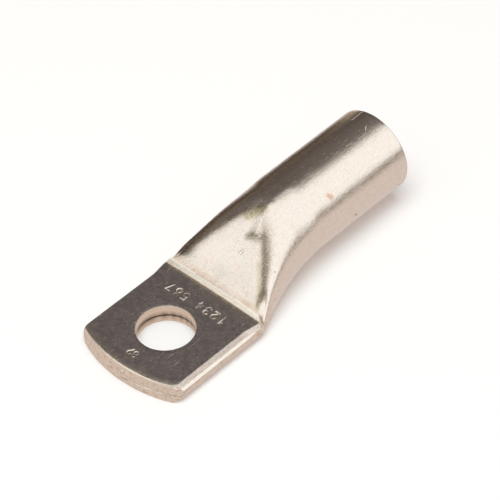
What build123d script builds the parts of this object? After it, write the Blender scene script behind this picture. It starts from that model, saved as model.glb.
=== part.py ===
from build123d import *
import os
from math import cos, hypot, isclose, radians, sin, sqrt, tan

# Tube cable lug made from one piece of copper tube, pressed flat at one end into a two-layer palm.
# Origin at the stud hole's centre on the palm's underside, +X towards the barrel's mouth, +Z up.

# Tube
wall = 3.0
barrel_dia = 26.4
barrel_length = 35.4
mouth_outer_chamfer = 0.35
mouth_inner_chamfer = 0.5

# Palm: the pressed end, two walls with a closed slit between them
palm_width = 38.4
slit_level = 2.3
slit_height = 0.1
nose_reach = 18.2
nose_radius = 43.4
nose_rake = 0.6
nose_corner_radius = 1.2
flat_width = 34.8
bevel_slope = 59.0
shoulder_drop = 1.5

# Stud hole, punched from above
stud_hole_dia = 17.0
rim_chamfer = 0.4

# Step left by the press die
step_x = 19.1
step_height = 1.2
step_bow = 0.4
step_draft = 18.0
corner_widening = 0.8
corner_length = 7.1

# Transition from the palm to the round barrel, which eases in faster or slower as the lags say
transition_length = 33.4
section_count = 7
facet_slope = 39.5
facet_narrowing = 0.75
facet_dish = 0.5
ridge_slope = 31.0
ridge_radius = 5.5
ridge_inset = 0.9
ridge_start = 0.2
crown_start = 0.11
crown_easing = 2.0
flank_fullness = 0.2
flank_lift = 0.7
widening_lag = 0.55
rising_lag = 0.62
foot_lag = 0.8

# Cavity between the slit's end and the straight bore
cavity_start = 0.5
cavity_length = 24.4
cavity_split_angle = 40.0

# Where the section's faces meet on the round barrel, in degrees from the top
crown_angle = 14.0
shoulder_angle = 30.0
foot_angle = 172.0

# A curve's handles: a quarter arc's as a share of its radius, the ridge's as a share of its chord
ARC_HANDLE = 0.5523
RIDGE_HANDLE = 0.36

barrel_r = barrel_dia / 2
bore_r = barrel_r - wall
palm_thickness = 2 * wall
barrel_x = step_x + transition_length
mouth_x = barrel_x + barrel_length
corner_x = step_x - corner_length
blank_top = palm_thickness + step_height
nose_x = nose_radius - nose_reach


def clamp(u):
    return min(max(u, 0.0), 1.0)


def smooth(u):
    """Ease from 0 to 1 with level ends."""
    return clamp(u) ** 2 * (3 - 2 * clamp(u))


def mix(a, b, u):
    return a + (b - a) * u


def mix_points(p, q, u):
    return mix(p[0], q[0], u), mix(p[1], q[1], u)


def level_off(value, limit):
    """Follow a rising value and ease it into its limit."""
    return (value + limit - hypot(value - limit, crown_easing)) / 2


def step_off(point, slope, distance):
    """Point at a distance from another, down a slope given in degrees."""
    return point[0] + distance * cos(radians(slope)), point[1] - distance * sin(radians(slope))


def on_tube(radius, angle):
    """Point (y, z) on a circle about the barrel's axis, the angle in degrees from the top."""
    return radius * sin(radians(angle)), barrel_r + radius * cos(radians(angle))


def arc_handle(radius, degrees):
    """Length of the cubic handles that draw an arc."""
    return 4 / 3 * tan(radians(degrees / 4)) * radius


def fold(side, foot):
    """Lower corner from the side down to the foot: a true quarter arc where both legs are equal."""
    level, lean = side[1] - foot[1], side[0] - foot[0]
    if isclose(level, lean):
        centre = Vector(foot[0], side[1])
        return ThreePointArc(side, centre + Vector(lean, 0).rotate(Axis.Z, -45), foot)
    return Bezier(side, (side[0], mix(side[1], foot[1], ARC_HANDLE)), (mix(foot[0], side[0], ARC_HANDLE), foot[1]), foot)


def outer_keys(x):
    """Key points (y, z) and slopes of the tube's half-section at x, before the die flattens the palm."""
    along = clamp((x - step_x) / transition_length)
    corner = smooth((x - corner_x) / corner_length)
    ridge = smooth(along / ridge_start)
    crown = smooth((along - crown_start) / (1 - crown_start))
    narrowing, rounding, tucking = [smooth(along**lag) for lag in (widening_lag, rising_lag, foot_lag)]
    rise = max(x - step_x, 0.0)
    drop = step_height + shoulder_drop
    bevel = tan(radians(bevel_slope))
    turn = radians(ridge_slope)
    edge_y = flat_width / 2 + corner_widening * corner - step_height / bevel
    edge_y -= facet_narrowing * rise + ridge_inset * ridge
    edge_z = level_off(blank_top + rise * tan(radians(facet_slope)), barrel_dia)
    on_bevel = (edge_y + drop / bevel, edge_z - drop)
    on_ridge = (edge_y + ridge_radius * sin(turn), edge_z - ridge_radius * (1 - cos(turn)))
    flat_foot = (palm_width / 2 - wall, 0.0)
    return {
        "crown": mix(edge_z - facet_dish * ridge, barrel_dia, crown),
        "edge": mix_points((edge_y, edge_z), on_tube(barrel_r, crown_angle), crown),
        "edge_slope": mix(mix(bevel_slope, 0.0, ridge), crown_angle, crown),
        "shoulder": mix_points(mix_points(on_bevel, on_ridge, ridge), on_tube(barrel_r, shoulder_angle), crown),
        "shoulder_slope": mix(mix(bevel_slope, ridge_slope, ridge), shoulder_angle, crown),
        "side": (mix(palm_width / 2, barrel_r, narrowing), mix(wall, barrel_r, rounding)),
        "foot": mix_points(flat_foot, on_tube(barrel_r, foot_angle), tucking),
        "roundness": crown,
    }


def pressed_section(x):
    """Closed section at x: facet, two ridges, two flanks, two lower corners and the flat bottom."""
    keys = outer_keys(x)
    edge, shoulder, side, foot = keys["edge"], keys["shoulder"], keys["side"], keys["foot"]
    edge_slope, shoulder_slope, roundness = keys["edge_slope"], keys["shoulder_slope"], keys["roundness"]
    height, width = shoulder[1] - side[1], side[0] - shoulder[0]
    ridge_handle = RIDGE_HANDLE * hypot(shoulder[0] - edge[0], shoulder[1] - edge[1])
    round_handle = arc_handle(barrel_r, 90 - shoulder_angle)
    reach = mix(flank_fullness * hypot(height, width), round_handle, roundness)
    lift = mix(flank_lift * height, round_handle, roundness)
    crown_handle = (8 * keys["crown"] - 2 * edge[1]) / 6
    ridge_handles = [step_off(edge, edge_slope, ridge_handle), step_off(shoulder, shoulder_slope, -ridge_handle)]
    flank_handles = [step_off(shoulder, shoulder_slope, reach), (side[0], side[1] + lift)]
    half = [Bezier(edge, *ridge_handles, shoulder), Bezier(shoulder, *flank_handles, side), fold(side, foot)]
    facet = Bezier((-edge[0], edge[1]), (-edge[0] / 3, crown_handle), (edge[0] / 3, crown_handle), edge)
    bottom = Line(foot, (-foot[0], foot[1]))
    outline = Wire([facet, *half, bottom, *[curve.mirror(Plane.YZ) for curve in half]])
    return Plane((x, 0, 0), (0, 1, 0), (1, 0, 0)).from_local_coords(outline)


def round_section(x, radius, turns):
    """Circle about the barrel's axis at x, split at the turns and at their mirror images."""
    turns = [-turns[0], *turns, *[360 - turn for turn in reversed(turns)]]
    arcs = []
    for start, end in zip(turns, turns[1:]):
        places = [on_tube(radius, turn) for turn in (start, (start + end) / 2, end)]
        arcs.append(ThreePointArc(*[Vector(x, y, z) for y, z in places]))
    return Wire(arcs)


def slot_section(x, roof):
    """Flat slot at x with rounded ends, from the slit's floor to the roof."""
    floor = slit_level - slit_height
    middle = (roof + floor) / 2
    half = palm_width / 2 - wall
    corner = half - (roof - floor) / 2
    top = Line((x, -corner, roof), (x, corner, roof))
    right = ThreePointArc(top @ 1, (x, half, middle), (x, corner, floor))
    bottom = Line(right @ 1, (x, -corner, floor))
    return Wire([top, right, bottom, ThreePointArc(bottom @ 1, (x, -half, middle), top @ 0)])


def make_outside():
    """Outside of the tube, its palm still standing above the die."""
    corner = [pressed_section(x) for x in (corner_x, (corner_x + step_x) / 2, step_x)]
    palm = extrude(Face(corner[0]), corner_x + nose_radius, dir=(-1, 0, 0))
    stations = [step_x + transition_length * i / section_count for i in range(section_count)]
    mouth = round_section(barrel_x, barrel_r, [crown_angle, shoulder_angle, 90, foot_angle])
    transition = Solid.make_loft([*[pressed_section(x) for x in stations], mouth])
    barrel = extrude(Face(mouth), barrel_length, dir=(1, 0, 0))
    return palm + Solid.make_loft(corner) + transition + barrel


def make_inside():
    """Conductor bore, the cavity behind it that closes on the palm, and the slit between the walls."""
    first_x = step_x + cavity_start
    bore_x = first_x + cavity_length
    mouth = round_section(bore_x, bore_r, [cavity_split_angle, 180 - cavity_split_angle])
    bore = extrude(Face(mouth), mouth_x - bore_x, dir=(1, 0, 0))
    facet = radians(facet_slope)
    roof = blank_top + cavity_start * tan(facet) - wall / cos(facet)
    cavity = Solid.make_loft([slot_section(first_x, roof), mouth])
    slit_end = first_x + cavity_start
    slit = Box(slit_end + nose_radius, palm_width - 2 * wall, slit_height, align=(Align.MAX, Align.CENTER, Align.CENTER))
    return bore + cavity + Pos(slit_end, 0, slit_level) * slit


def make_die():
    """Press die over the palm; its back edge is bowed and leans back to leave the step."""
    half = palm_width / 2
    back = ThreePointArc((step_x - step_bow, -half), (step_x, 0), (step_x - step_bow, half))
    front = Polyline(back @ 1, (-nose_radius, half), (-nose_radius, -half), back @ 0)
    outline = make_face(back + front)
    return Pos(0, 0, palm_thickness) * extrude(outline, barrel_dia, taper=-step_draft)


def make_nose_cutter():
    """What the shear takes off the palm's front: all outside a slightly raked arc."""
    stock = Box(2 * nose_radius, 2 * palm_width, palm_thickness, align=(Align.MAX, Align.CENTER, Align.MIN))
    arc = Cone(nose_radius + nose_rake, nose_radius, palm_thickness, align=(Align.CENTER, Align.CENTER, Align.MIN))
    return stock - Pos(nose_x, 0, 0) * arc


def make_corner_cutter():
    """What rounds the palm's front corner at its widest, between the nose's arc and the side."""
    inset = palm_width / 2 - nose_corner_radius
    spoke = nose_radius + nose_rake / 2 - nose_corner_radius
    centre_x = nose_x - sqrt(spoke**2 - inset**2)
    reach = 3 * nose_corner_radius
    to_arc = Vector(centre_x - nose_x, inset).normalized() * reach
    to_side = Vector(0, reach)
    wedge = make_face(Polyline((0, 0), to_arc, to_arc + to_side, to_side, close=True))
    corner = extrude(wedge - Circle(nose_corner_radius), palm_thickness)
    return Pos(centre_x, inset, 0) * corner


def at_mouth(edges, radius):
    """The mouth's edges of one radius."""
    ring = edges.filter_by_position(Axis.X, mouth_x, mouth_x)
    return ring.filter_by(lambda edge: abs(edge.radius - radius) < wall / 4)


def make_lug():
    body = make_outside() - make_die() - make_nose_cutter()
    corner = make_corner_cutter()
    body = body - corner - mirror(corner, Plane.XZ)
    hole = Cylinder(stud_hole_dia / 2, palm_thickness, align=(Align.CENTER, Align.CENTER, Align.MIN))
    body = body - make_inside() - hole
    body = chamfer(at_mouth(body.edges(), barrel_r), mouth_outer_chamfer)
    body = chamfer(at_mouth(body.edges(), bore_r), mouth_inner_chamfer)
    rim = body.edges().filter_by(GeomType.CIRCLE).filter_by_position(Axis.Z, palm_thickness, palm_thickness)
    rim = rim.filter_by(lambda edge: abs(edge.radius - stud_hole_dia / 2) < wall / 4)
    return chamfer(rim, rim_chamfer)


if __name__ == "__main__":
    os.makedirs("parts", exist_ok=True)
    lug = make_lug()
    export_step(lug, "parts/cable_lug.step")
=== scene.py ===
import math
from types import SimpleNamespace
import bmesh
import bpy
import numpy as np
from mathutils import Matrix, Quaternion, Vector


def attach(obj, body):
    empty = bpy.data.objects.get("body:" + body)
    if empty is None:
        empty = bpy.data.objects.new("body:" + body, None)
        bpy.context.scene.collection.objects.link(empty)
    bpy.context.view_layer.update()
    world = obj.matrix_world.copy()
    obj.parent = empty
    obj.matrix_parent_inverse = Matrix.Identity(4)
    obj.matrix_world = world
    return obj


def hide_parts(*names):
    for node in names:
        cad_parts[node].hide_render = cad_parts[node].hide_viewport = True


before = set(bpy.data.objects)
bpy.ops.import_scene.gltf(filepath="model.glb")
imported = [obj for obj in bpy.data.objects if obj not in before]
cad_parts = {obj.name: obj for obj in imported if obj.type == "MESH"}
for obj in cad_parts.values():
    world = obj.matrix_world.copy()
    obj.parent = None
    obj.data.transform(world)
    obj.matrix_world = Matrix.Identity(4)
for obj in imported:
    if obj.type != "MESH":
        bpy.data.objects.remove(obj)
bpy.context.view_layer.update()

# All sizes are in millimetres and degrees until the mesh is made; the scene itself is in metres
MM = 0.001

# The lug, in the sizes of its CAD model
WALL = 3.0
BARREL_R = 13.2
BORE_R = BARREL_R - WALL
MOUTH_X = 87.9
MOUTH_OUTER_ROUND = 0.35
MOUTH_INNER_ROUND = 0.5
PALM_HALF = 19.2
PALM_T = 2 * WALL
FLAT_HALF = 17.4
BEVEL_SLOPE = 59.0
SHOULDER_DROP = 1.5
NOSE_REACH = 18.2
NOSE_R = 43.4
NOSE_RAKE = 0.6
NOSE_CORNER = 1.2
HOLE_R = 8.5
RIM_ROLL = 0.4
RIM_CLEARANCE = 0.1
SEAM_Z = 2.3
STEP_X = 19.1
STEP_H = 1.2
STEP_BOW = 0.4
STEP_RUN = STEP_H * math.tan(math.radians(30))
CORNER_WIDENING = 0.8
CORNER_LENGTH = 7.1
CORNER_SPREAD = 1.2
SIDE_EDGE_R = 0.35
TRANSITION = 33.4
BARREL_X = STEP_X + TRANSITION
FACET_SLOPE = 39.5
FACET_NARROWING = 0.75
FACET_DISH = 0.5
RIDGE_SLOPE = 31.0
RIDGE_R = 5.5
RIDGE_INSET = 0.9
RIDGE_START = 0.2
CROWN_START = 0.11
CROWN_EASING = 2.0
FLANK_FULLNESS = 0.2
FLANK_LIFT = 0.7
WIDENING_LAG = 0.55
RISING_LAG = 0.62
FOOT_LAG = 0.8
CROWN_ANGLE = 14.0
SHOULDER_ANGLE = 30.0
FOOT_ANGLE = 172.0
RIDGE_HAND = 0.36
QUARTER_ARC = 0.5523
STEP_FULLNESS = 0.35
BARREL_BLEND = 6.0
CAVITY_X = STEP_X + 0.5
CAVITY_LENGTH = 24.4
CAVITY_SPLIT = 40.0
SLOT_FLOOR = 2.2
SLOT_ROOF = 3.7
CAVITY_CONE = 0.05

# Wear that only the scene has: the nose's round edge, the hole's sagging rim, the hollow behind the step
NOSE_SAG = 0.22
NOSE_SAG_WIDTH = 2.0
NOSE_EDGE_R = 0.35
RIM_SAG = 0.14
RIM_SAG_WIDTH = 1.3
HEEL_DEPTH = 0.16
HEEL_LENGTH = 1.1
HEEL_HALF = FLAT_HALF - 1.5

# Softened ridges: how far round each section the press has reached, and where along the lug that ends
LEFT_REACH = 3.8
LEFT_END, LEFT_FADE = 64.0, 14.0
RIGHT_REACH = 2.0
RIGHT_END, RIGHT_FADE = 54.0, 12.0
SOFT_START, SOFT_START_FADE = 0.3, 4.5
CREST_FADE = 1.2
MIDDLE_GAP, MIDDLE_FADE = 2.0, 3.0
FLANK_SHARE = 0.6

# Stamped figures: a row across the palm behind the hole, and a small pair in front of it
ROW_TEXT = "1234 567"
ROW_X = 12.4
ROW_HEIGHT = 2.8
ROW_PITCH = 2.85
PAIR_TEXT = "89"
PAIR_X = -13.0
PAIR_HEIGHT = 2.3
PAIR_PITCH = 1.75
FIGURE_WIDTH = 0.62
STROKE = 0.42
STAMP_DEPTH = 0.17
STAMP_WEAR = 0.25
STAMP_ZONE_Z = PALM_T - 0.3

# Grid of the skin: how many columns each face of a section has, and where the rows change their pitch
FLANK_COLS = 17
RIDGE_COLS = 9
LOWER_COLS = 17
BOTTOM_COLS = 33
TOP_FINE_COLS = 151
TOP_OUTER_COLS = 12
FINE_HALF = 12.2
EDGE_SHARES = [0, 0.003, 0.01, 0.02, 0.035, 0.055, 0.08, 0.11, 0.14]
FORE_X = -8.0
FIGURES_X = 10.4
BOW_START = 14.4
BOW_END = 6.0
HEEL_ROW = 0.22
NOSE_LEVELS = [
    5.2, 5.0, 4.75, 4.5, 4.4, 4.3, 4.2, 4.1, 4.0, 3.8, 3.4, 3.0, 2.7,
    SEAM_Z + 0.2, SEAM_Z + 0.08, SEAM_Z, SEAM_Z - 0.08, SEAM_Z - 0.2, 1.8, 1.4, 1.0, 0.6, 0.25,
]
HOLE_SIDES = 160
SHARP_ANGLE = 32

# Seam between the pressed layers: its groove in the nose and in the hole, and the slit above it in the nose
SEAM_DEPTH = 0.20
SEAM_HALF = 0.09
HOLE_SEAM = [(-0.45, 0.0), (-0.16, 0.15), (0.0, 0.5), (0.14, 0.15), (0.3, 0.0)]
SLIT_Y = -2.2
SLIT_Z = 4.2
SLIT_TILT = 0.10
SLIT_DEPTH = 0.4
SLIT_HALF = 0.11
SLIT_REACH, SLIT_FADE = 1.6, 1.4

# Where the material paints the seam's shadow, and how wide that painted dark line is
HOLE_ZONE = HOLE_R + 0.6
NOSE_ZONE_X, NOSE_ZONE_Z = -13.0, PALM_T - 0.6
HOLE_LINE, HOLE_LINE_WAVE = 0.45, 0.12
NOSE_LINE, NOSE_LINE_SHARE = 0.15, 0.5

# Soft waves of the handled surface
WAVE_SEED = 7
WAVE_COUNT = 14
WAVE_LENGTHS = (4.0, 13.0)
WAVE_HEIGHT = 0.0011

# Shallow dents of the pressed skin as x, y, z, radius and depth
DENTS = [
    (32.6, -4.6, 20.2, 2.6, 0.07),
    (33.8, -1.2, 21.4, 1.6, 0.10),
    (30.5, -8.6, 17.0, 1.2, 0.08),
    (25.7, 3.0, 12.6, 1.8, 0.04),
    (48.0, -4.0, 26.0, 2.4, 0.05),
    (66.0, 1.0, 26.4, 2.8, 0.05),
]


def smooth(u):
    u = np.clip(u, 0.0, 1.0)
    return u * u * (3 - 2 * u)


def mix(a, b, u):
    return a + (b - a) * u


def on_tube(radius, angle):
    a = np.radians(angle)
    return radius * np.sin(a), BARREL_R + radius * np.cos(a)


def outer_keys(x, cut):
    """Half-section's key places at x; cut is True where the die has pressed the palm down."""
    along = np.clip((x - STEP_X) / TRANSITION, 0, 1)
    corner = smooth((x - (STEP_X - CORNER_LENGTH)) / CORNER_LENGTH)
    ridge = smooth(along / RIDGE_START)
    crown = smooth((along - CROWN_START) / (1 - CROWN_START))
    narrowing, rounding, tucking = [smooth(along**lag) for lag in (WIDENING_LAG, RISING_LAG, FOOT_LAG)]
    rise = np.maximum(x - STEP_X, 0.0)
    bevel = math.tan(math.radians(BEVEL_SLOPE))
    top = np.where(cut, 0.0, STEP_H)
    drop = top + SHOULDER_DROP
    edge_y = FLAT_HALF + CORNER_WIDENING * corner - top / bevel
    edge_y = edge_y - FACET_NARROWING * rise - RIDGE_INSET * ridge
    line = PALM_T + top + rise * math.tan(math.radians(FACET_SLOPE))
    edge_z = (line + 2 * BARREL_R - np.hypot(line - 2 * BARREL_R, CROWN_EASING)) / 2
    edge_z = np.where(cut, PALM_T, edge_z)
    turn = math.radians(RIDGE_SLOPE)
    sy = mix(edge_y + drop / bevel, edge_y + RIDGE_R * math.sin(turn), ridge)
    sz = mix(edge_z - drop, edge_z - RIDGE_R * (1 - math.cos(turn)), ridge)
    cy, cz = on_tube(BARREL_R, CROWN_ANGLE)
    ty, tz = on_tube(BARREL_R, SHOULDER_ANGLE)
    fy, fz = on_tube(BARREL_R, FOOT_ANGLE)
    return {
        "crown": mix(edge_z - FACET_DISH * ridge, 2 * BARREL_R, crown),
        "ey": mix(edge_y, cy, crown),
        "ez": mix(edge_z, cz, crown),
        "es": mix(mix(BEVEL_SLOPE, 0.0, ridge), CROWN_ANGLE, crown),
        "sy": mix(sy, ty, crown),
        "sz": mix(sz, tz, crown),
        "ss": mix(mix(BEVEL_SLOPE, RIDGE_SLOPE, ridge), SHOULDER_ANGLE, crown),
        "wy": mix(PALM_HALF, BARREL_R, narrowing),
        "wz": mix(WALL, BARREL_R, rounding),
        "fy": mix(PALM_HALF - WALL, fy, tucking),
        "fz": mix(0.0, fz, tucking),
        "round": crown,
    }


def bezier(p0, p1, p2, p3, t):
    s = 1 - t
    return s**3 * p0 + 3 * s * s * t * p1 + 3 * s * t * t * p2 + t**3 * p3


def make_columns():
    """Columns round the section as (face, place along it, side), up the right side and over the top."""
    cols = []

    def run(face, places, side):
        cols.extend((face, t, side) for t in places)

    flank = np.linspace(0, 1, FLANK_COLS)
    ridge = np.linspace(0, 1, RIDGE_COLS)
    fine = FINE_HALF / FLAT_HALF
    outer = np.linspace(fine, 1, TOP_OUTER_COLS)[1:]
    top = np.concatenate([-outer[::-1], np.linspace(-fine, fine, TOP_FINE_COLS), outer])
    run("flank", flank[::-1][:-1], -1)
    run("ridge", ridge[::-1][:-1], -1)
    run("top", top, 0)
    run("ridge", ridge[1:], 1)
    run("flank", flank[1:], 1)
    upper = len(cols)
    lower = np.linspace(0, 1, LOWER_COLS)[1:]
    run("lower", lower, 1)
    run("bottom", np.linspace(1, -1, BOTTOM_COLS)[1:-1], 0)
    run("lower", lower[::-1], -1)
    return cols, upper


COLS, N_TOP = make_columns()
FACE = np.array([c[0] for c in COLS])
PLACE = np.array([c[1] for c in COLS])
SIDE = np.array([c[2] for c in COLS])
TURN = np.select(
    [FACE == "top", FACE == "ridge", FACE == "flank", FACE == "lower"],
    [
        PLACE * CROWN_ANGLE,
        SIDE * mix(CROWN_ANGLE, SHOULDER_ANGLE, PLACE),
        SIDE * mix(SHOULDER_ANGLE, 90, PLACE),
        SIDE * mix(90, FOOT_ANGLE, PLACE),
    ],
    180 - PLACE * (180 - FOOT_ANGLE),
)


def outline(x, cut):
    """y and z of every column at x, both arrays of rows by columns."""
    k = outer_keys(x, cut)
    y, z = np.zeros_like(x), np.zeros_like(x)
    es, ss = np.radians(k["es"]), np.radians(k["ss"])
    hand = RIDGE_HAND * np.hypot(k["sy"] - k["ey"], k["sz"] - k["ez"])
    height = k["sz"] - k["wz"]
    true_hand = 4 / 3 * math.tan(math.radians((90 - SHOULDER_ANGLE) / 4)) * BARREL_R
    reach = mix(FLANK_FULLNESS * np.hypot(height, k["wy"] - k["sy"]), true_hand, k["round"])
    lift = mix(FLANK_LIFT * height, true_hand, k["round"])
    place = np.broadcast_to(PLACE, x.shape)
    side = np.broadcast_to(SIDE, x.shape)
    crown_hand = (8 * k["crown"] - 2 * k["ez"]) / 6

    def fill(face, ys, zs, t, sign):
        m = FACE == face
        y[:, m] = sign[:, m] * bezier(*[v[:, m] for v in ys], t[:, m])
        z[:, m] = bezier(*[v[:, m] for v in zs], t[:, m])

    ones = np.ones_like(x)
    fill(
        "top",
        (-k["ey"], -k["ey"] / 3, k["ey"] / 3, k["ey"]),
        (k["ez"], crown_hand, crown_hand, k["ez"]),
        (place + 1) / 2,
        ones,
    )
    fill(
        "ridge",
        (k["ey"], k["ey"] + hand * np.cos(es), k["sy"] - hand * np.cos(ss), k["sy"]),
        (k["ez"], k["ez"] - hand * np.sin(es), k["sz"] + hand * np.sin(ss), k["sz"]),
        place,
        side,
    )
    fill(
        "flank",
        (k["sy"], k["sy"] + reach * np.cos(ss), k["wy"], k["wy"]),
        (k["sz"], k["sz"] - reach * np.sin(ss), k["wz"] + lift, k["wz"]),
        place,
        side,
    )
    fill(
        "lower",
        (k["wy"], k["wy"], mix(k["fy"], k["wy"], QUARTER_ARC), k["fy"]),
        (k["wz"], mix(k["wz"], k["fz"], QUARTER_ARC), k["fz"], k["fz"]),
        place,
        side,
    )
    m = FACE == "bottom"
    y[:, m] = place[:, m] * k["fy"][:, m]
    z[:, m] = k["fz"][:, m]
    cy, cz = on_tube(BARREL_R, TURN)
    w = smooth((x - (BARREL_X - BARREL_BLEND)) / BARREL_BLEND)
    return mix(y, cy, w), mix(z, cz, w)


def nose_line(y, z, half):
    """x of the raked nose arc at y and z, rounded into the sides at |y| = half."""
    r = NOSE_R + NOSE_RAKE * (1 - z / PALM_T)
    x = (NOSE_R - NOSE_REACH) - np.sqrt(np.maximum(r * r - y * y, 0))
    corner = NOSE_CORNER * smooth((half - FLAT_HALF) / CORNER_SPREAD) + SIDE_EDGE_R
    d = np.clip(half - np.abs(y), 0, corner)
    return x + corner - np.sqrt(np.maximum(corner**2 - (corner - d) ** 2, 0))


def half_width(z):
    """Half-width of the flat palm at height z, from the underside's flat to the top's edge."""
    fold = PALM_HALF - WALL + np.sqrt(np.maximum(WALL**2 - (WALL - np.clip(z, 0, WALL)) ** 2, 0))
    shoulder = FLAT_HALF + SHOULDER_DROP / math.tan(math.radians(BEVEL_SLOPE))
    flank = mix(PALM_HALF, shoulder, smooth((z - WALL) / (PALM_T - SHOULDER_DROP - WALL)))
    bevel = FLAT_HALF + (PALM_T - z) / math.tan(math.radians(BEVEL_SLOPE))
    return np.where(z < WALL, fold, np.where(z < PALM_T - SHOULDER_DROP, flank, bevel))


def build_rows():
    """Grid of x for every row and column, where the die has cut, and the step's two rows."""
    n = len(COLS)
    y0, z0 = outline(np.zeros((1, n)), np.full((1, n), True))
    nose = nose_line(y0[0], z0[0], half_width(z0[0]))
    bow = -STEP_BOW * (y0[0] / PALM_HALF) ** 2
    rows, cuts = [], []

    def add(x, cut):
        rows.append(x + np.zeros(n))
        cuts.append(np.full(n, cut))

    for s in EDGE_SHARES + list(np.linspace(0.16, 1, 44)[:-1]):
        add(mix(nose, FORE_X, s), True)
    for start, end, count in ((FORE_X, FIGURES_X, 42), (FIGURES_X, BOW_START, 26)):
        for x in np.linspace(start, end, count)[:-1]:
            add(x, True)
    for x in np.linspace(BOW_START, STEP_X, 14):
        add(x + bow * smooth((x - BOW_START) / (STEP_X - BOW_START)), True)
    foot = len(rows) - 1
    for s in (0.2, 0.4, 0.6, 0.8):
        add(STEP_X + STEP_RUN * s + bow, True)
    add(STEP_X + STEP_RUN + bow, False)
    crest = len(rows) - 1
    near = STEP_X + STEP_RUN + np.arange(1, 15) * HEEL_ROW
    for x in [*near, *np.linspace(near[-1], BARREL_X, 62)[1:-1]]:
        add(x + bow * (1 - smooth((x - STEP_X) / BOW_END)), False)
    for x in np.linspace(BARREL_X, MOUTH_X - MOUTH_OUTER_ROUND, 36):
        add(x, False)
    return np.array(rows), np.array(cuts), foot, crest


def soften(y, z, reach, share):
    """Round the upper part of every section over reach, in so far as share says."""
    upper = slice(0, N_TOP)
    step = np.hypot(np.diff(y[:, upper]), np.diff(z[:, upper]))
    arc = np.concatenate([np.zeros((len(y), 1)), np.cumsum(step, axis=1)], axis=1)
    width = np.gradient(arc, axis=1)
    weight = np.exp(-(((arc[:, :, None] - arc[:, None, :]) / reach) ** 2)) * width[:, None, :]
    weight /= weight.sum(-1, keepdims=True)
    out = []
    for v in (y, z):
        v = v.copy()
        v[:, upper] = mix(v[:, upper], (weight * v[:, None, upper]).sum(-1), share[:, upper])
        out.append(v)
    return out


def soften_ridges(x, y, z, crest_x):
    """Round both ridges a little, the left one more, as the press has left them."""
    flank = np.where(FACE == "flank", 1 - smooth(PLACE / FLANK_SHARE), 1.0)
    left = flank * (SIDE >= 0) * smooth((y + MIDDLE_GAP) / MIDDLE_FADE)
    left = left * smooth((x - STEP_X - SOFT_START) / SOFT_START_FADE) * smooth((LEFT_END - x) / LEFT_FADE)
    right = flank * (SIDE <= 0) * smooth((-MIDDLE_GAP - y) / MIDDLE_FADE)
    right = right * smooth((x - crest_x) / CREST_FADE) * smooth((RIGHT_END - x) / RIGHT_FADE)
    y, z = soften(y, z, LEFT_REACH, left)
    return soften(y, z, RIGHT_REACH, right)


def make_skin():
    """Outer grid of the lug as an array of rows, columns and x, y, z."""
    x, cut, foot, crest = build_rows()
    y, z = outline(x, cut)
    for r in range(foot + 1, crest):
        s = (r - foot) / (crest - foot)
        y[r] = mix(y[foot], y[crest], s)
        z[r] = mix(z[foot], z[crest], (1 + STEP_FULLNESS) * s - STEP_FULLNESS * s * s)
    on_top = np.clip((z - (PALM_T - SHOULDER_DROP)) / SHOULDER_DROP, 0, 1)
    back = x - x[0]
    sag = NOSE_SAG * np.clip(1 - back / NOSE_SAG_WIDTH, 0, 1) ** 2
    edge = NOSE_EDGE_R - np.sqrt(NOSE_EDGE_R**2 - np.clip(NOSE_EDGE_R - back, 0, NOSE_EDGE_R) ** 2)
    rim = np.clip(1 - (np.hypot(x, y) - HOLE_R) / RIM_SAG_WIDTH, 0, 1)
    palm = (x < STEP_X - 1) & (z > PALM_T - SHOULDER_DROP)
    z -= np.where(palm, (sag + edge) * on_top + RIM_SAG * rim**2, 0)
    y, z = soften_ridges(x, y, z, x[crest])
    past = np.maximum(x - x[crest], 0) / HEEL_LENGTH
    heel = HEEL_DEPTH * past * np.exp(1 - past) * np.clip(1 - (y / HEEL_HALF) ** 2, 0, 1)
    z = z - np.where(FACE == "top", heel, 0)
    return np.stack([x, y, z], -1)


def ring(radius, x):
    y, z = on_tube(radius, TURN)
    return np.stack([np.full(len(COLS), x), y, z], -1)


def slot_ring():
    """The cavity's flat end, its columns matched to the bore's."""
    r = (SLOT_ROOF - SLOT_FLOOR) / 2
    corner = PALM_HALF - WALL - r
    turn = np.where(TURN > 180, TURN - 360, TURN)
    a = np.abs(turn)
    end = np.radians(np.clip((a - CAVITY_SPLIT) / (180 - 2 * CAVITY_SPLIT), 0, 1) * 180)
    flat = np.minimum(a, 180 - a) / CAVITY_SPLIT
    at_end = (a > CAVITY_SPLIT) & (a < 180 - CAVITY_SPLIT)
    y = np.sign(turn) * np.where(at_end, corner + r * np.sin(end), corner * np.minimum(flat, 1))
    z = (SLOT_ROOF + SLOT_FLOOR) / 2 + r * np.cos(end)
    return np.stack([np.full(len(COLS), CAVITY_X), y, z], -1)


def make_inside():
    """Rings from the mouth's rounded edge down the bore and the cavity to its blind end."""
    rings = []
    for a in np.radians(np.linspace(0, 90, 5)[1:]):
        radius = BARREL_R - MOUTH_OUTER_ROUND * (1 - np.cos(a))
        rings.append(ring(radius, MOUTH_X - MOUTH_OUTER_ROUND * (1 - np.sin(a))))
    for r in np.linspace(BARREL_R - MOUTH_OUTER_ROUND, BORE_R + MOUTH_INNER_ROUND, 5)[1:-1]:
        rings.append(ring(r, MOUTH_X))
    for a in np.radians(np.linspace(0, 90, 5)):
        radius = BORE_R + MOUTH_INNER_ROUND * (1 - np.sin(a))
        rings.append(ring(radius, MOUTH_X - MOUTH_INNER_ROUND * (1 - np.cos(a))))
    for x in np.linspace(MOUTH_X - 1.5, CAVITY_X + CAVITY_LENGTH, 14):
        rings.append(ring(BORE_R, x))
    bore, slot = rings[-1], slot_ring()
    rings += [mix(bore, slot, s) for s in np.linspace(0, 1, 13)[1:]]
    return np.array(rings)


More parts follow.
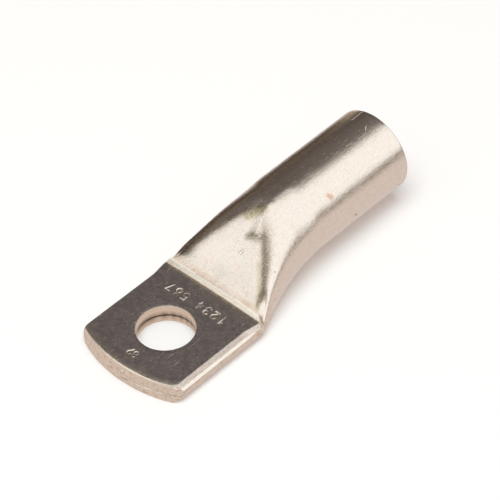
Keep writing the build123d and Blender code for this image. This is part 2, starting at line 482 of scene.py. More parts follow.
def band_faces(low, high, cols):
    """Quads between two rings of points that start at low and high."""
    return [(low + c, low + (c + 1) % cols, high + (c + 1) % cols, high + c) for c in range(cols)]


def grid_faces(first, rows, cols):
    """Quads of a grid closed round its columns."""
    starts = range(first, first + (rows - 1) * cols, cols)
    return [quad for start in starts for quad in band_faces(start, start + cols, cols)]


def relief(points):
    """How far the handled surface stands off its true form: long soft waves and a few shallow dents."""
    rng = np.random.default_rng(WAVE_SEED)
    lift = np.zeros(len(points))
    for _ in range(WAVE_COUNT):
        wave = rng.uniform(*WAVE_LENGTHS)
        axis = rng.normal(size=3) * np.array([0.6, 1.0, 1.0])
        axis /= np.linalg.norm(axis)
        phase = rng.uniform(0, 2 * math.pi)
        lift += WAVE_HEIGHT * wave * np.sin(points @ axis * (2 * math.pi / wave) + phase)
    for x, y, z, radius, depth in DENTS:
        d = np.linalg.norm((points - np.array([x, y, z])) / radius, axis=1)
        lift -= depth * np.exp(-d * d)
    return lift


def arc_points(cx, cy, rx, ry, start, end, count=14):
    """Points along an ellipse's arc, the angles in degrees from +x."""
    a = np.radians(np.linspace(start, end, count))
    return [(cx + rx * math.cos(t), cy + ry * math.sin(t)) for t in a]


def figure_strokes(figure):
    """Strokes of a plain figure in a cell one high and FIGURE_WIDTH wide."""
    return {
        "1": [[(0.12, 0.78), (0.34, 1.0), (0.34, 0.0)]],
        "2": [arc_points(0.31, 0.71, 0.29, 0.29, 165, -28) + [(0.04, 0.0), (0.60, 0.0)]],
        "3": [arc_points(0.29, 0.75, 0.27, 0.25, 150, -80), arc_points(0.29, 0.26, 0.31, 0.26, 85, -150)],
        "4": [[(0.60, 0.28), (0.02, 0.28), (0.44, 1.0), (0.44, 0.0)]],
        "5": [[(0.55, 1.0), (0.12, 1.0), (0.07, 0.52)] + arc_points(0.29, 0.31, 0.31, 0.31, 125, -145)],
        "6": [[(0.46, 1.0), (0.10, 0.50)], arc_points(0.31, 0.30, 0.29, 0.30, 0, 360, 22)],
        "7": [[(0.03, 1.0), (0.59, 1.0), (0.22, 0.0)]],
        "8": [arc_points(0.31, 0.76, 0.24, 0.24, 0, 360, 20), arc_points(0.31, 0.26, 0.30, 0.26, 0, 360, 22)],
        "9": [[(0.16, 0.0), (0.52, 0.50)], arc_points(0.31, 0.70, 0.29, 0.30, 0, 360, 22)],
    }.get(figure, [])


def stamp_segments(text, centre_x, height, pitch):
    """Segments of a row of figures that reads along +Y, its tops towards -X."""
    segments = []
    width = FIGURE_WIDTH * height
    left = -((len(text) - 1) * pitch + width) / 2
    for i, figure in enumerate(text):
        for stroke in figure_strokes(figure):
            places = [(centre_x + height * (0.5 - v), left + i * pitch + height * u) for u, v in stroke]
            segments += list(zip(places, places[1:]))
    return np.array(segments)


def stamp_depth(points):
    """Depth pressed into the palm's top at each point by the figures."""
    depth = np.zeros(len(points))
    on_top = (points[:, 2] > STAMP_ZONE_Z) & (points[:, 0] < STEP_X - 1)
    rows = ((ROW_TEXT, ROW_X, ROW_HEIGHT, ROW_PITCH), (PAIR_TEXT, PAIR_X, PAIR_HEIGHT, PAIR_PITCH))
    for text, centre_x, height, pitch in rows:
        near = np.where(on_top & (np.abs(points[:, 0] - centre_x) < height))[0]
        p = points[near][:, None, :2]
        segments = stamp_segments(text, centre_x, height, pitch)
        a, ab = segments[None, :, 0], segments[None, :, 1] - segments[None, :, 0]
        t = np.clip(((p - a) * ab).sum(-1) / (ab * ab).sum(-1), 0, 1)
        d = np.linalg.norm(p - (a + ab * t[..., None]), axis=-1).min(1)
        wear = 1 - STAMP_WEAR + STAMP_WEAR * np.sin(points[near, 1] * 0.9 + points[near, 0])
        depth[near] = STAMP_DEPTH * wear * smooth(1.25 - d / (STROKE / 2) * 0.75)
    return depth


def grid_normals(grid):
    """Outward unit normals of the skin's grid."""
    du = np.roll(grid, -1, axis=1) - np.roll(grid, 1, axis=1)
    dv = np.gradient(grid, axis=0)
    n = np.cross(dv, du)
    return n / np.maximum(np.linalg.norm(n, axis=-1, keepdims=True), 1e-9)


def make_lug_skin():
    """The skin with its dents, soft waves and stamped figures."""
    skin = make_skin()
    rows, cols = skin.shape[:2]
    normals = grid_normals(skin)
    flat = skin.reshape(-1, 3)
    fade = smooth((skin[..., 2] - 0.3) / 1.5) * smooth((np.arange(rows)[:, None] - 1) / 6)
    fade = fade * smooth((MOUTH_X - skin[..., 0]) / 6)
    lift = np.minimum(relief(flat).reshape(rows, cols) * fade, 0.0)
    skin = skin + normals * lift[..., None]
    skin[..., 2] -= stamp_depth(flat).reshape(rows, cols)
    return skin


def seam_height(y):
    """Height of the line between the pressed layers along the nose."""
    return SEAM_Z - np.exp(-(((y - 1) / 6) ** 2)) + 0.3 * smooth((-y - 6) / 8) + 0.04 * np.sin(1.7 * y)


def nose_face(skin, first):
    """Rows of the sheared nose from the skin's first row to the underside, its seam and slit pressed in."""
    top = skin[0, :N_TOP]
    rows, quads = [], []
    previous = list(range(N_TOP))
    share = np.clip(top[:, 1] / np.maximum(half_width(top[:, 2]), 1e-6), -1, 1)
    at_side = smooth((np.abs(share) - 0.93) / 0.07)
    for level in NOSE_LEVELS:
        follow = np.interp(level, [0, SEAM_Z, 4.0], [0, 1, 0]) * (1 - at_side)
        z = mix(np.full(N_TOP, level), np.minimum(top[:, 2], level + 1), at_side * (level > 3.0))
        z = z + follow * (seam_height(top[:, 1]) - SEAM_Z)
        half = half_width(z)
        y = share * half
        seam = SEAM_DEPTH * smooth((5 - y) / 7) * np.exp(-(((level - SEAM_Z) / SEAM_HALF) ** 2))
        along = smooth(SLIT_REACH - np.abs(y - SLIT_Y) / SLIT_FADE)
        slit = SLIT_DEPTH * along * np.exp(-(((level - SLIT_Z + SLIT_TILT * (y - SLIT_Y)) / SLIT_HALF) ** 2))
        x = nose_line(y, z, half) + (seam + slit) * smooth((1 - np.abs(share)) / 0.08)
        rows.append(np.stack([x, y, z], -1)[1:-1])
        current = [0, *range(first, first + N_TOP - 2), N_TOP - 1]
        first += N_TOP - 2
        for i in range(N_TOP - 1):
            corners = dict.fromkeys((previous[i], current[i], current[i + 1], previous[i + 1]))
            if len(corners) > 2:
                quads.append(tuple(corners))
        previous = current
    return np.concatenate(rows), quads, previous


def zip_faces(points, row, loop):
    """Triangles between two lines of points that run across the lug and share both ends."""
    faces = []
    i = j = 0
    while i < len(row) - 1 or j < len(loop) - 1:
        on_row = i < len(row) - 1
        if on_row and (j == len(loop) - 1 or points[row[i + 1], 1] < points[loop[j + 1], 1] + 1e-9):
            tri = (row[i], loop[j], row[i + 1])
            i += 1
        else:
            tri = (row[i], loop[j], loop[j + 1])
            j += 1
        if len(set(tri)) == 3:
            faces.append(tri)
    return faces


def lug_points_and_faces():
    """The closed surface before the hole: skin, mouth, bore, cavity, nose and the underside's front edge."""
    skin, inside = make_lug_skin(), make_inside()
    rows, cols = skin.shape[:2]
    base = rows * cols
    tip = base + len(inside) * cols
    faces = grid_faces(0, rows, cols)
    faces += band_faces(base - cols, base, cols)
    faces += grid_faces(base, len(inside), cols)
    faces += [(tip - cols + c, tip - cols + (c + 1) % cols, tip) for c in range(cols)]
    middle = [[CAVITY_X - CAVITY_CONE, 0.0, (SLOT_FLOOR + SLOT_ROOF) / 2]]
    nose, nose_faces, last_row = nose_face(skin, tip + 1)
    faces += nose_faces
    points = np.concatenate([skin.reshape(-1, 3), inside.reshape(-1, 3), middle, nose])
    faces += zip_faces(points, last_row, [0, *range(cols - 1, N_TOP - 2, -1)])
    return points, faces


def add_object(name, points, faces):
    mesh = bpy.data.meshes.new(name)
    mesh.from_pydata(points, [], faces)
    ob = bpy.data.objects.new(name, mesh)
    bpy.context.collection.objects.link(ob)
    return ob


def turn_outward(mesh):
    bm = bmesh.new()
    bm.from_mesh(mesh)
    bmesh.ops.recalc_face_normals(bm, faces=bm.faces)
    bm.to_mesh(mesh)
    bm.free()


def revolved(name, profile, n):
    """Closed solid of revolution about the stud hole's axis."""
    turns = [2 * math.pi * i / n for i in range(n)]
    points = [(r * math.cos(a) * MM, r * math.sin(a) * MM, z * MM) for z, r in profile for a in turns]
    faces = []
    for start in range(0, (len(profile) - 1) * n, n):
        faces += band_faces(start, start + n, n)
    faces.append(tuple(range(n))[::-1])
    faces.append(tuple(range(len(points) - n, len(points))))
    return add_object(name, points, faces)


def hole_profile():
    """Height and radius of the stud hole from below upwards, with its seam and rolled rim."""
    seam = [(SEAM_Z + up, HOLE_R + out) for up, out in HOLE_SEAM]
    roll = []
    for a in map(math.radians, range(0, 76, 15)):
        roll.append((PALM_T - RIM_ROLL * (1 - math.sin(a)), HOLE_R + RIM_ROLL * (1 - math.cos(a))))
    clear = HOLE_R + RIM_ROLL + RIM_CLEARANCE
    return [(-1, HOLE_R), *seam, (4.2, HOLE_R), *roll, (PALM_T + RIM_CLEARANCE, clear), (PALM_T + 1, clear)]


def punch_hole(ob):
    """Give the object a mesh with the stud hole cut through it."""
    cutter = revolved("stud_hole_cutter", hole_profile(), HOLE_SIDES)
    mod = ob.modifiers.new("hole", "BOOLEAN")
    mod.operation = "DIFFERENCE"
    mod.solver = "EXACT"
    mod.object = cutter
    bpy.context.view_layer.update()
    mesh = bpy.data.meshes.new_from_object(ob.evaluated_get(bpy.context.evaluated_depsgraph_get()))
    ob.modifiers.clear()
    ob.data = mesh
    bpy.data.objects.remove(cutter)
    for p in mesh.polygons:
        p.use_smooth = True
    mesh.set_sharp_from_angle(angle=math.radians(SHARP_ANGLE))


def add_marks(mesh):
    """Say for the material where the seam's painted shadow and the stamped figures are."""
    co = np.zeros(len(mesh.vertices) * 3)
    mesh.vertices.foreach_get("co", co)
    co = co.reshape(-1, 3) / MM
    x, y, z = co.T
    in_hole = np.hypot(x, y) < HOLE_ZONE
    in_nose = (x < NOSE_ZONE_X) & (z < NOSE_ZONE_Z)
    height = np.where(in_hole, SEAM_Z, seam_height(y))
    width = np.where(in_hole, HOLE_LINE + HOLE_LINE_WAVE * np.sin(3.1 * y + 1.0), NOSE_LINE)
    share = np.where(in_hole, 1.0, NOSE_LINE_SHARE * smooth((4 - y) / 6)) * (in_hole | in_nose)
    # The seam attribute places the seam's painted shadow; the stamp attribute also places the figures'
    # painted highlight
    marks = {"seam": np.exp(-(((z - height) / width) ** 2)) * share, "stamp": stamp_depth(co) / STAMP_DEPTH}
    for name, values in marks.items():
        mesh.attributes.new(name, "FLOAT", "POINT").data.foreach_set("value", values.astype(np.float32))


points, faces = lug_points_and_faces()
lug = add_object("lug_body", (points * MM).tolist(), faces)
lug.data.validate()
turn_outward(lug.data)
punch_hole(lug)
add_marks(lug.data)

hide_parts("cable_lug")
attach(lug, "root")


class Nodes:
    """Small helper that adds shader nodes and links them."""

    def __init__(self, material):
        material.use_nodes = True
        self.tree = material.node_tree
        self.tree.nodes.clear()

    def add(self, kind, links=None, **settings):
        node = self.tree.nodes.new(kind)
        for key, value in settings.items():
            setattr(node, key, value)
        for key, value in (links or {}).items():
            socket = node.inputs[key]
            if isinstance(value, bpy.types.NodeSocket):
                self.tree.links.new(value, socket)
            else:
                socket.default_value = value
        return node

    def math(self, operation, a, b=0.0, clamp=False):
        return self.add("ShaderNodeMath", {0: a, 1: b}, operation=operation, use_clamp=clamp).outputs[0]

    def plus(self, first, *others):
        for other in others:
            first = self.math("ADD", first, other)
        return first

    def times(self, first, *others):
        for other in others:
            first = self.math("MULTIPLY", first, other)
        return first

    def larger(self, a, b):
        return self.math("MAXIMUM", a, b)

    def inverse(self, a):
        return self.math("SUBTRACT", 1.0, a)

    def vector(self, operation, inputs, output="Vector"):
        return self.add("ShaderNodeVectorMath", inputs, operation=operation).outputs[output]

    def ramp(self, value, low, high):
        """Ease from 0 at low to 1 at high."""
        node = self.add(
            "ShaderNodeMapRange",
            {"Value": value, "From Min": low, "From Max": high, "To Min": 0.0, "To Max": 1.0},
            interpolation_type="SMOOTHSTEP",
        )
        return node.outputs["Result"]

    def noise(self, vector, scale, detail=4.0, roughness=0.6):
        inputs = {"Vector": vector, "Scale": scale, "Detail": detail, "Roughness": roughness}
        return self.add("ShaderNodeTexNoise", inputs).outputs["Fac"]

    def stretched(self, vector, turn, scale):
        node = self.add("ShaderNodeMapping", {"Vector": vector, "Rotation": turn, "Scale": scale})
        return node.outputs["Vector"]

    def mix_color(self, factor, a, b):
        node = self.add("ShaderNodeMix", data_type="RGBA")
        for index, value in ((0, factor), (6, a), (7, b)):
            socket = node.inputs[index]
            if isinstance(value, bpy.types.NodeSocket):
                self.tree.links.new(value, socket)
            else:
                socket.default_value = value
        return node.outputs[2]

    def paint(self, color, tone, factor, share=1.0):
        """Lay a plain tone over a colour where factor says, at most by share."""
        if share != 1.0:
            factor = self.times(factor, share)
        return self.mix_color(factor, color, (*tone, 1))

    def blot(self, position, centre, radius, core=0.6):
        """1 inside a round spot at a place in millimetres, 0 outside; core is the full part of its radius."""
        gap = self.vector("DISTANCE", {0: position, 1: tuple(centre)}, "Value")
        return self.inverse(self.ramp(gap, radius * core, radius))

    def line(self, position, start, end, radius, core=0.4):
        """1 along a straight mark between two places, 0 outside; core is the full part of its radius."""
        start, end = Vector(start), Vector(end)
        along = end - start
        rel = self.vector("SUBTRACT", {0: position, 1: tuple(start)})
        dot = self.vector("DOT_PRODUCT", {0: rel, 1: tuple(along / along.length_squared)}, "Value")
        share = self.math("ADD", dot, 0.0, clamp=True)
        foot = self.vector("SCALE", {0: tuple(along), "Scale": share})
        gap = self.vector("DISTANCE", {0: rel, 1: foot}, "Value")
        return self.inverse(self.ramp(gap, radius * core, radius))

    def length(self, x, y):
        """Distance of a place from the origin, seen from above."""
        flat = self.add("ShaderNodeCombineXYZ", {0: x, 1: y}).outputs[0]
        return self.vector("LENGTH", {0: flat}, "Value")


# Marks in the tin. Round ones are x, y, z and radius, long ones are two ends and a radius
ORANGE_SPOTS = [(57.7, -10.2, 21.5, 1.4), (57.1, -9.5, 22.0, 1.1)]
# Pits, painted near black for the shade inside them
PITS = [
    (65.3, -13.0, 10.9, 0.42),
    (84.8, -12.4, 8.8, 0.40),
    (30.2, -13.8, 14.4, 0.22),
    (27.5, -16.5, 7.5, 0.24),
]
GREEN_PATCH = ((35.8, 1.3, 22.6), (38.8, -1.8, 24.6), 2.3)
FRECKLED = (31.0, -4.0, 18.5, 10.0)
# Painted shade: the dark hook in the pressed hollow, where the dent shades the tin
HOLLOW_SHADE_MARKS = [
    ((31.9, -1.8, 19.2), (32.7, -3.0, 20.0), 1.7),
    ((32.7, -3.0, 20.0), (33.1, -6.0, 20.5), 2.6),
]
SOFT_BAND = ((33.0, -7.0, 20.2), (21.0, -15.4, 8.6), 3.2)
SOFT_PATCHES = [
    (25.5, -3.0, 12.4, 2.6),
    (24.0, 6.0, 11.0, 2.2),
    (28.6, -7.0, 16.0, 1.8),
    (34.6, -1.6, 22.0, 1.6),
    (22.6, -9.0, 9.6, 2.2),
]
EDGE_STAINS = [
    ((33.2, 6.4, 20.2), (36.6, 2.9, 23.2), 1.5),
    ((36.6, 2.9, 23.2), (39.0, -0.2, 24.8), 2.0),
    ((39.0, -0.2, 24.8), (42.3, -2.2, 25.8), 1.4),
]
HOLLOW_TINT = ((28.6, -9.3, 15.8), (20.8, -15.6, 8.4), 1.5)
STROKES = [((29.3, -3.0, 16.4), (28.2, -2.6, 15.3), 0.16), ((29.4, -2.4, 16.6), (28.4, -1.6, 15.4), 0.13)]
LONG_SCRATCH = ((87.2, 3.9, 25.8), (82.6, 3.8, 25.8), 0.16)
SHORT_SCRATCH = ((82.9, -1.4, 26.3), (81.6, -2.4, 26.2), 0.14)

# Colours of the tin, of what has stained it and of the copper that shows through, and the painted shade,
# reflection and highlights
TIN_WARM, TIN_PALE = (0.92, 0.82, 0.72), (1.0, 0.945, 0.875)
CLOUD_WARM, CLOUD_CREAM = (0.93, 0.79, 0.67), (1.0, 0.93, 0.76)
# Painted shade of the hook in the pressed hollow
HOLLOW_SHADE_BROWN = (0.27, 0.225, 0.16)
PATCH_WARM = (0.93, 0.74, 0.60)
EDGE_BROWN = (0.36, 0.29, 0.20)
TINT_OLIVE = (0.66, 0.58, 0.36)
STROKE_BROWN = (0.30, 0.22, 0.10)
FRECKLE_BROWN = (0.42, 0.30, 0.20)
PATCH_GREEN = (0.50, 0.43, 0.22)
TARNISH_DARK, TARNISH_PALE = (0.71, 0.66, 0.665), (0.97, 0.895, 0.82)
# Gold of the tarnish, also a painted highlight along the nose's edge and before the step
GOLD_TARNISH_AND_HIGHLIGHT = (1.0, 0.90, 0.62)
# Steep sides: partly copper, partly a painted reflection of the shaded floor, with darker painted patches
SIDE_COPPER_AND_REFLECTION, SIDE_WORN_AND_SHADED = (0.92, 0.76, 0.61), (0.62, 0.47, 0.34)
HEEL_COPPER = (0.84, 0.62, 0.46)
# Painted highlight on the step's face
STEP_HIGHLIGHT_CREAM = (1.0, 0.95, 0.84)
# Painted shade along the mouth's rounded edge
MOUTH_EDGE_SHADE = (0.40, 0.31, 0.24)
HOLE_COPPER = (0.90, 0.76, 0.62)
# Painted shadow in the seam between the pressed layers
SEAM_SHADOW_DARK = (0.09, 0.05, 0.025)
# Painted highlight in the stamped figures' strokes
STAMP_HIGHLIGHT = (0.98, 0.88, 0.66)
SPOT_ORANGE = (0.74, 0.47, 0.32)
# Painted shade inside the pits
PIT_SHADE_DARK = (0.05, 0.03, 0.02)
BUMP_STRENGTH = 0.8
BUMP_DISTANCE = 0.00016


def surface_fields(n):
    """Places in millimetres, noises and marks that the parts of the material share."""
    here = n.add("ShaderNodeTexCoord").outputs["Object"]
    place = n.vector("SCALE", {0: here, "Scale": 1 / MM})
    xyz = n.add("ShaderNodeSeparateXYZ", {0: place}).outputs
    true_normal = n.add("ShaderNodeNewGeometry").outputs["True Normal"]
    bow = n.times(n.times(xyz["Y"], xyz["Y"]), STEP_BOW / PALM_HALF**2)
    scratch_a = n.noise(n.stretched(place, (0, 0, 0.6), (0.16, 4.0, 4.0)), 1.0, 2.0, 0.5)
    scratch_b = n.noise(n.stretched(place, (0, 0, -0.9), (0.20, 4.5, 4.5)), 1.0, 2.0, 0.5)
    return SimpleNamespace(
        place=place,
        x=xyz["X"],
        y=xyz["Y"],
        z=xyz["Z"],
        past_foot=n.plus(xyz["X"], bow),
        level=n.math("ABSOLUTE", n.add("ShaderNodeSeparateXYZ", {0: true_normal}).outputs["Z"]),
        broad=n.noise(place, 0.14, 3.0),
        cloud=n.noise(place, 0.8, 4.0, 0.6),
        grain=n.noise(place, 3.0, 4.0, 0.7),
        speck=n.noise(place, 2.4, 3.0, 0.7),
        pebble=n.noise(n.stretched(place, (0.4, 0.2, 0.3), (1, 1, 1)), 2.1, 2.0, 0.5),
        smear=n.noise(n.stretched(place, (0, 0, 0.35), (0.9, 0.6, 0.6)), 1.0, 6.0, 0.72),
        drawn=n.noise(n.stretched(place, (0, 0, 0), (0.10, 2.6, 2.6)), 1.0, 4.0, 0.7),
        scratched=n.math("ADD", n.ramp(scratch_a, 0.70, 0.76), n.ramp(scratch_b, 0.70, 0.76), clamp=True),
        cuts=n.larger(n.line(place, *LONG_SCRATCH), n.line(place, *SHORT_SCRATCH)),
        # seam: where the material paints the seam's shadow
        seam=n.add("ShaderNodeAttribute", attribute_name="seam").outputs["Fac"],
        stamp=n.add("ShaderNodeAttribute", attribute_name="stamp").outputs["Fac"],
    )


def tin_color(n, s):
    """Pale tin with warm clouds, painted shade and stains round the pressed hollow, and freckles."""
    color = n.mix_color(n.ramp(s.grain, 0.34, 0.66), (*TIN_WARM, 1), (*TIN_PALE, 1))
    color = n.paint(color, CLOUD_WARM, n.ramp(s.cloud, 0.48, 0.70), 0.5)
    color = n.paint(color, CLOUD_CREAM, n.ramp(s.cloud, 0.46, 0.30), 0.35)
    # Painted shade: the dark hook in the pressed hollow is painted brown
    for mark in HOLLOW_SHADE_MARKS:
        stain_and_shade = n.times(n.line(s.place, *mark, 0.0), n.ramp(s.pebble, 0.2, 0.6))
        color = n.paint(color, HOLLOW_SHADE_BROWN, stain_and_shade, 0.85)
    for *centre, radius in SOFT_PATCHES:
        patch = n.times(n.blot(s.place, centre, radius, 0.0), n.ramp(s.cloud, 0.40, 0.60))
        color = n.paint(color, PATCH_WARM, patch, 0.55)
    for mark in EDGE_STAINS:
        stain_and_shade = n.times(n.line(s.place, *mark, 0.0), n.ramp(s.grain, 0.25, 0.6))
        color = n.paint(color, EDGE_BROWN, stain_and_shade, 0.75)
    color = n.paint(color, TINT_OLIVE, n.line(s.place, *HOLLOW_TINT, 0.0), 0.5)
    for mark in STROKES:
        color = n.paint(color, STROKE_BROWN, n.line(s.place, *mark), 0.7)
    density = n.plus(0.28, n.times(n.blot(s.place, FRECKLED[:3], FRECKLED[3], 0.3), 0.6))
    color = n.paint(color, FRECKLE_BROWN, n.times(n.ramp(s.speck, 0.61, 0.69), density))
    stain_and_shade = n.times(n.line(s.place, *GREEN_PATCH, 0.0), n.ramp(s.pebble, 0.25, 0.6))
    return n.paint(color, PATCH_GREEN, stain_and_shade)


def tarnish_palm(n, s, color):
    """Smeared tarnish on the palm, gold along the nose and the step, partly tarnish and partly a painted
    highlight of those edges.
    """
    on_palm = n.inverse(n.ramp(s.past_foot, STEP_X - 0.12, STEP_X + 0.06))
    on_palm = n.times(on_palm, n.ramp(s.z, PALM_T - 0.4, PALM_T - 0.1))
    tarnish = n.mix_color(n.ramp(s.smear, 0.38, 0.64), (*TARNISH_DARK, 1), (*TARNISH_PALE, 1))
    from_arc = n.length(n.math("SUBTRACT", s.x, NOSE_R - NOSE_REACH), s.y)
    by_nose = n.times(n.ramp(from_arc, NOSE_R - 2.4, NOSE_R - 0.2), n.ramp(s.x, -6, -10))
    by_step = n.times(n.ramp(s.past_foot, STEP_X - 2.6, STEP_X - 0.2), 0.7)
    # Partly tarnish, partly a painted highlight along the nose's edge and before the step
    golden_and_highlight = n.times(n.larger(by_nose, by_step), n.ramp(s.cloud, 0.40, 0.56))
    tarnish = n.paint(tarnish, GOLD_TARNISH_AND_HIGHLIGHT, golden_and_highlight, 0.7)
    return n.mix_color(on_palm, color, tarnish)


def copper_and_painted_light(n, s, color):
    """Warmer and darker steep sheared and folded sides, partly copper and partly a painted reflection of the
    shaded floor; the heel; a painted highlight on the step's face; painted shade at the mouth's edge; and the
    punched hole.
    """
    # Painted reflection: steep sides are painted warm, partly copper and partly the shaded floor they reflect
    fore = n.inverse(n.ramp(s.x, STEP_X - 5, STEP_X - 2))
    sides = n.larger(fore, n.ramp(n.math("ABSOLUTE", s.y), 16.5, 17.5))
    low = n.inverse(n.ramp(s.x, STEP_X - 2, STEP_X + 14))
    sheared = n.times(n.inverse(n.ramp(s.level, 0.25, 0.6)), sides, low)
    color = n.paint(color, SIDE_COPPER_AND_REFLECTION, sheared, 0.5)
    crest = STEP_X + STEP_RUN
    heel = n.ramp(s.past_foot, crest - 0.1, crest + 0.5)
    heel = n.times(heel, n.ramp(s.past_foot, crest + 2.0, crest + 0.7))
    heel = n.times(heel, n.plus(0.2, n.times(n.ramp(s.broad, 0.35, 0.6), 0.5)))
    color = n.paint(color, HEEL_COPPER, heel)
    # Painted highlight: the step's face is painted pale cream
    face = n.ramp(s.past_foot, STEP_X + 0.1, STEP_X + 0.2)
    face = n.times(face, n.ramp(s.past_foot, crest + 0.1, crest - 0.1))
    color = n.paint(color, STEP_HIGHLIGHT_CREAM, face)
    # Painted shade: darker patches on the steep sides, partly wear
    color = n.paint(color, SIDE_WORN_AND_SHADED, n.times(sheared, n.ramp(s.cloud, 0.50, 0.66)), 0.55)
    # Painted shade: a dark line round the mouth's rounded edge
    color = n.paint(color, MOUTH_EDGE_SHADE, n.ramp(s.x, MOUTH_X - 0.55, MOUTH_X - 0.1), 0.7)
    in_hole = n.inverse(n.ramp(n.length(s.x, s.y), HOLE_R + 0.06, HOLE_R + 0.3))
    return n.paint(color, HOLE_COPPER, in_hole, 0.85)


def add_small_marks(n, s, color):
    # Painted shadow: a near-black line in the seam between the pressed layers
    color = n.paint(color, SEAM_SHADOW_DARK, s.seam, 0.92)
    # Painted highlight: the stamped figures' strokes are painted pale
    color = n.paint(color, STAMP_HIGHLIGHT, s.stamp, 0.7)
    for *centre, radius in ORANGE_SPOTS:
        color = n.paint(color, SPOT_ORANGE, n.blot(s.place, centre, radius, 0.2), 0.75)
    # Painted shade: the pits are painted near black
    for *centre, radius in PITS:
        color = n.paint(color, PIT_SHADE_DARK, n.blot(s.place, centre, radius))
    return color


def surface_roughness(n, s):
    dull = n.line(s.place, *SOFT_BAND, 0.0)
    for start, end, radius in EDGE_STAINS:
        dull = n.larger(dull, n.line(s.place, start, end, radius * 2, 0.0))
    return n.plus(
        0.13,
        n.times(n.ramp(s.grain, 0.35, 0.70), 0.11),
        n.times(n.ramp(s.broad, 0.45, 0.7), 0.05),
        n.times(s.scratched, 0.28),
        n.times(s.stamp, 0.25),
        n.times(s.cuts, 0.65),
        n.times(dull, 0.07),
    )


def surface_height(n, s):
    """Fine grain, drawing lines, pebbling and scratches, for the bump alone."""
    return n.plus(
        n.times(s.grain, 0.30),
        n.times(s.drawn, 0.10),
        n.times(s.pebble, 0.25),
        n.times(s.cloud, 0.25),
        n.times(s.scratched, -0.12),
        n.times(s.cuts, -0.8),
    )


def make_tinned_copper():
    mat = bpy.data.materials.new("tinned_copper")
    n = Nodes(mat)
    s = surface_fields(n)
    color = tarnish_palm(n, s, tin_color(n, s))
    color = add_small_marks(n, s, copper_and_painted_light(n, s, color))
    bump = {"Height": surface_height(n, s), "Strength": BUMP_STRENGTH, "Distance": BUMP_DISTANCE}
    normal = n.add("ShaderNodeBump", bump).outputs[0]
    inputs = {"Base Color": color, "Roughness": surface_roughness(n, s), "Normal": normal}
    shader = n.add("ShaderNodeBsdfPrincipled", inputs)
    shader.inputs["Metallic"].default_value = 1.0
    n.add("ShaderNodeOutputMaterial", {"Surface": shader.outputs[0]})
    return mat


lug.data.materials.clear()
lug.data.materials.append(make_tinned_copper())

# Studio: its lamp, floor and the reflecting cards, in metres
STUDIO_CENTRE = Vector((0.035, 0, 0.01))
FLOOR_COLOR = (0.95, 0.945, 0.935)
FLOOR_GLOW, FLOOR_GLOW_STRENGTH = (1, 0.96, 0.95), 0.08
WORLD_COLOR, WORLD_STRENGTH = (1, 0.81, 0.76), 0.42
ROOM_DARK, ROOM_PALE = (0.072, 0.054, 0.044), (0.145, 0.13, 0.125)
CAMERA_SIDE_BROWN = (0.12, 0.095, 0.07)
RIGHT_FAR_BROWN, RIGHT_LOW_BROWN = (0.06, 0.045, 0.035), (0.14, 0.11, 0.085)
FLOOR_IN_METAL = (0.66, 0.585, 0.55)
CARD_EDGE = (0.50, 0.42, 0.26)
KEY_AZ, KEY_EL, KEY_DIST = 215, 78, 1.5
KEY_SIZE, KEY_POWER, KEY_COLOR = (1.1, 1.1), 17.9, (0.90, 0.99, 1.0)


def plane(name, size, loc, rot=None):
    sx, sy = size[0] / 2, size[1] / 2
    ob = add_object(name, [(-sx, -sy, 0), (sx, -sy, 0), (sx, sy, 0), (-sx, sy, 0)], [(0, 1, 2, 3)])
    ob.location = loc
    if rot is not None:
        ob.rotation_euler = rot
    return ob


def direction(az, el):
    a, e = math.radians(az), math.radians(el)
    return Vector((math.cos(e) * math.cos(a), math.cos(e) * math.sin(a), math.sin(e)))


def facing_euler(az, el, roll=0.0):
    """Rotation of a plane that looks towards az and el, rolled about that direction."""
    turn = direction(az, el).to_track_quat("Z", "Y") @ Quaternion((0, 0, 1), math.radians(roll))
    return turn.to_euler()


def make_floor():
    floor = plane("floor", (4, 4), (0.03, 0, -0.00002))
    mat = bpy.data.materials.new("floor_white")
    mat.use_nodes = True
    inputs = mat.node_tree.nodes["Principled BSDF"].inputs
    inputs["Base Color"].default_value = (*FLOOR_COLOR, 1)
    inputs["Roughness"].default_value = 0.9
    inputs["Specular IOR Level"].default_value = 0.0
    inputs["Emission Color"].default_value = (*FLOOR_GLOW, 1)
    inputs["Emission Strength"].default_value = FLOOR_GLOW_STRENGTH
    floor.data.materials.append(mat)


def card(name, centre, turn, size, low, high=None, **fade):
    """Flat card of the studio that is seen only in the object's reflections.

    Its colour runs from low at its foot to high at its top, and it fades out towards the
    sides named in fade, each given with the share of the half-size that it takes.
    """
    ob = plane(name, size, centre, turn)
    mat = bpy.data.materials.new(name)
    n = Nodes(mat)
    here = n.add("ShaderNodeSeparateXYZ", {0: n.add("ShaderNodeTexCoord").outputs["Object"]})
    across = n.times(here.outputs["X"], 2 / size[0])
    up = n.times(here.outputs["Y"], 2 / size[1])
    body = n.mix_color(n.ramp(up, -0.5, 0.5), (*low, 1), (*(high or low), 1))
    gone = 0.0
    sides = {"left": across, "right": n.times(across, -1.0), "top": up, "foot": n.times(up, -1.0)}
    for side, share in fade.items():
        gone = n.larger(n.ramp(sides[side], 1.0 - share, 1.0), gone)
    glow = n.add("ShaderNodeEmission", {"Color": n.paint(body, CARD_EDGE, n.ramp(gone, 0.0, 0.6))})
    clear = n.add("ShaderNodeBsdfTransparent")
    both = n.add("ShaderNodeMixShader", {0: n.ramp(gone, 0.25, 1.0), 1: glow.outputs[0], 2: clear.outputs[0]})
    n.add("ShaderNodeOutputMaterial", {"Surface": both.outputs[0]})
    ob.data.materials.append(mat)
    ob.visible_camera = False
    ob.visible_diffuse = False
    ob.visible_shadow = False


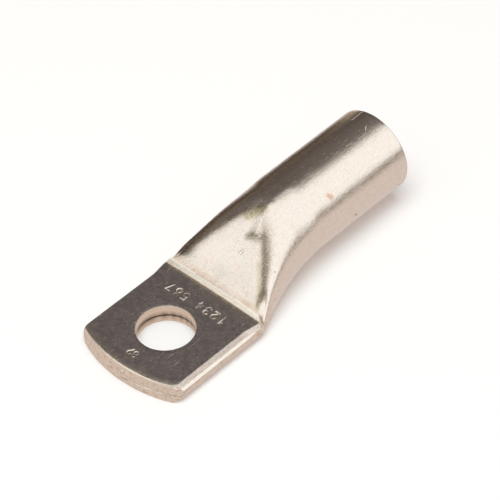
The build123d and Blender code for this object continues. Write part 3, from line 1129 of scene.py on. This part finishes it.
def make_cards():
    """Dark room behind and round the camera, dark lines at both sides, and the floor as the metal sees it."""
    turn = facing_euler(68, 30, -19.3)
    place = STUDIO_CENTRE + direction(68, 30) * 0.60 - turn.to_matrix() @ Vector((0, 0.050, 0))
    card("card_back", place, turn, (1.86, 1.31), ROOM_DARK, ROOM_PALE, top=0.35, right=0.15, left=0.28)
    place = STUDIO_CENTRE + direction(199, 46) * 0.60
    turn = facing_euler(199, 46)
    card("card_camera", place, turn, (0.76, 0.60), CAMERA_SIDE_BROWN, top=0.6, foot=0.6, left=0.6, right=0.8)
    turn = facing_euler(90, 0)
    card("card_left", (0.042, 0.060, 0.014), turn, (0.19, 0.040), ROOM_DARK, right=0.25, top=0.35)
    turn = facing_euler(-90, 0)
    card("card_right_far", (0.32, -0.25, 0.0), turn, (0.36, 0.16), RIGHT_FAR_BROWN, top=0.5, right=0.2)
    card("card_right_low", (0.03, -0.25, 0.0), turn, (0.46, 0.066), RIGHT_LOW_BROWN, top=0.5)
    card("card_floor", (0.03, 0, -0.00001), None, (1.6, 1.6), FLOOR_IN_METAL)


def make_world():
    """White for the camera and for the metal, and a plain warm light on all else."""
    world = bpy.data.worlds.new("studio")
    bpy.context.scene.world = world
    n = Nodes(world)
    path = n.add("ShaderNodeLightPath").outputs
    mirror = n.larger(path["Is Glossy Ray"], path["Is Transmission Ray"])
    direct = n.math("LESS_THAN", path["Diffuse Depth"], 0.5)
    seen = n.larger(path["Is Camera Ray"], n.times(mirror, direct))
    lit = n.add("ShaderNodeBackground", {"Color": (*WORLD_COLOR, 1), "Strength": WORLD_STRENGTH})
    white = n.add("ShaderNodeBackground", {"Color": (1, 1, 1, 1), "Strength": 1.0})
    both = n.add("ShaderNodeMixShader", {0: seen, 1: lit.outputs[0], 2: white.outputs[0]})
    n.add("ShaderNodeOutputWorld", {"Surface": both.outputs[0]})


def area(name, az, el, dist, size, power, color):
    """Rectangular lamp that shines on the lug from az and el."""
    lamp = bpy.data.lights.new(name, "AREA")
    lamp.shape = "RECTANGLE"
    lamp.size, lamp.size_y = size
    lamp.energy = power
    lamp.color = color
    ob = bpy.data.objects.new(name, lamp)
    bpy.context.collection.objects.link(ob)
    ob.location = STUDIO_CENTRE + direction(az, el) * dist
    ob.rotation_euler = facing_euler(az, el)
    ob.visible_glossy = False


make_floor()
make_cards()
make_world()
area("key_above", KEY_AZ, KEY_EL, KEY_DIST, KEY_SIZE, KEY_POWER, KEY_COLOR)

# Camera at the photograph's viewing angle; F_PX is its focal length in pixels of a FRAME_PX wide image
CAM_AZ, CAM_EL, CAM_ROLL = 224.510, 44.318, -2.199
F_PX, DIST = 2581.49, 738.92
FRAME_PX = 500
TARGET = Vector((38.127, 3.46, PALM_T))


def make_camera():
    data = bpy.data.cameras.new("camera")
    cam = bpy.data.objects.new("camera", data)
    bpy.context.collection.objects.link(cam)
    back = direction(CAM_AZ, CAM_EL)
    right = Vector((0, 0, 1)).cross(back).normalized()
    up = back.cross(right)
    c, s = math.cos(math.radians(CAM_ROLL)), math.sin(math.radians(CAM_ROLL))
    right, up = right * c + up * s, up * c - right * s
    pos = (TARGET + back * DIST) * MM
    cam.matrix_world = Matrix((
        (right.x, up.x, back.x, pos.x),
        (right.y, up.y, back.y, pos.y),
        (right.z, up.z, back.z, pos.z),
        (0, 0, 0, 1),
    ))
    data.sensor_width = 36
    data.lens = F_PX / FRAME_PX * data.sensor_width
    data.clip_start = 0.05
    data.clip_end = 20
    bpy.context.scene.camera = cam


make_camera()
bpy.context.scene.view_settings.view_transform = "Standard"
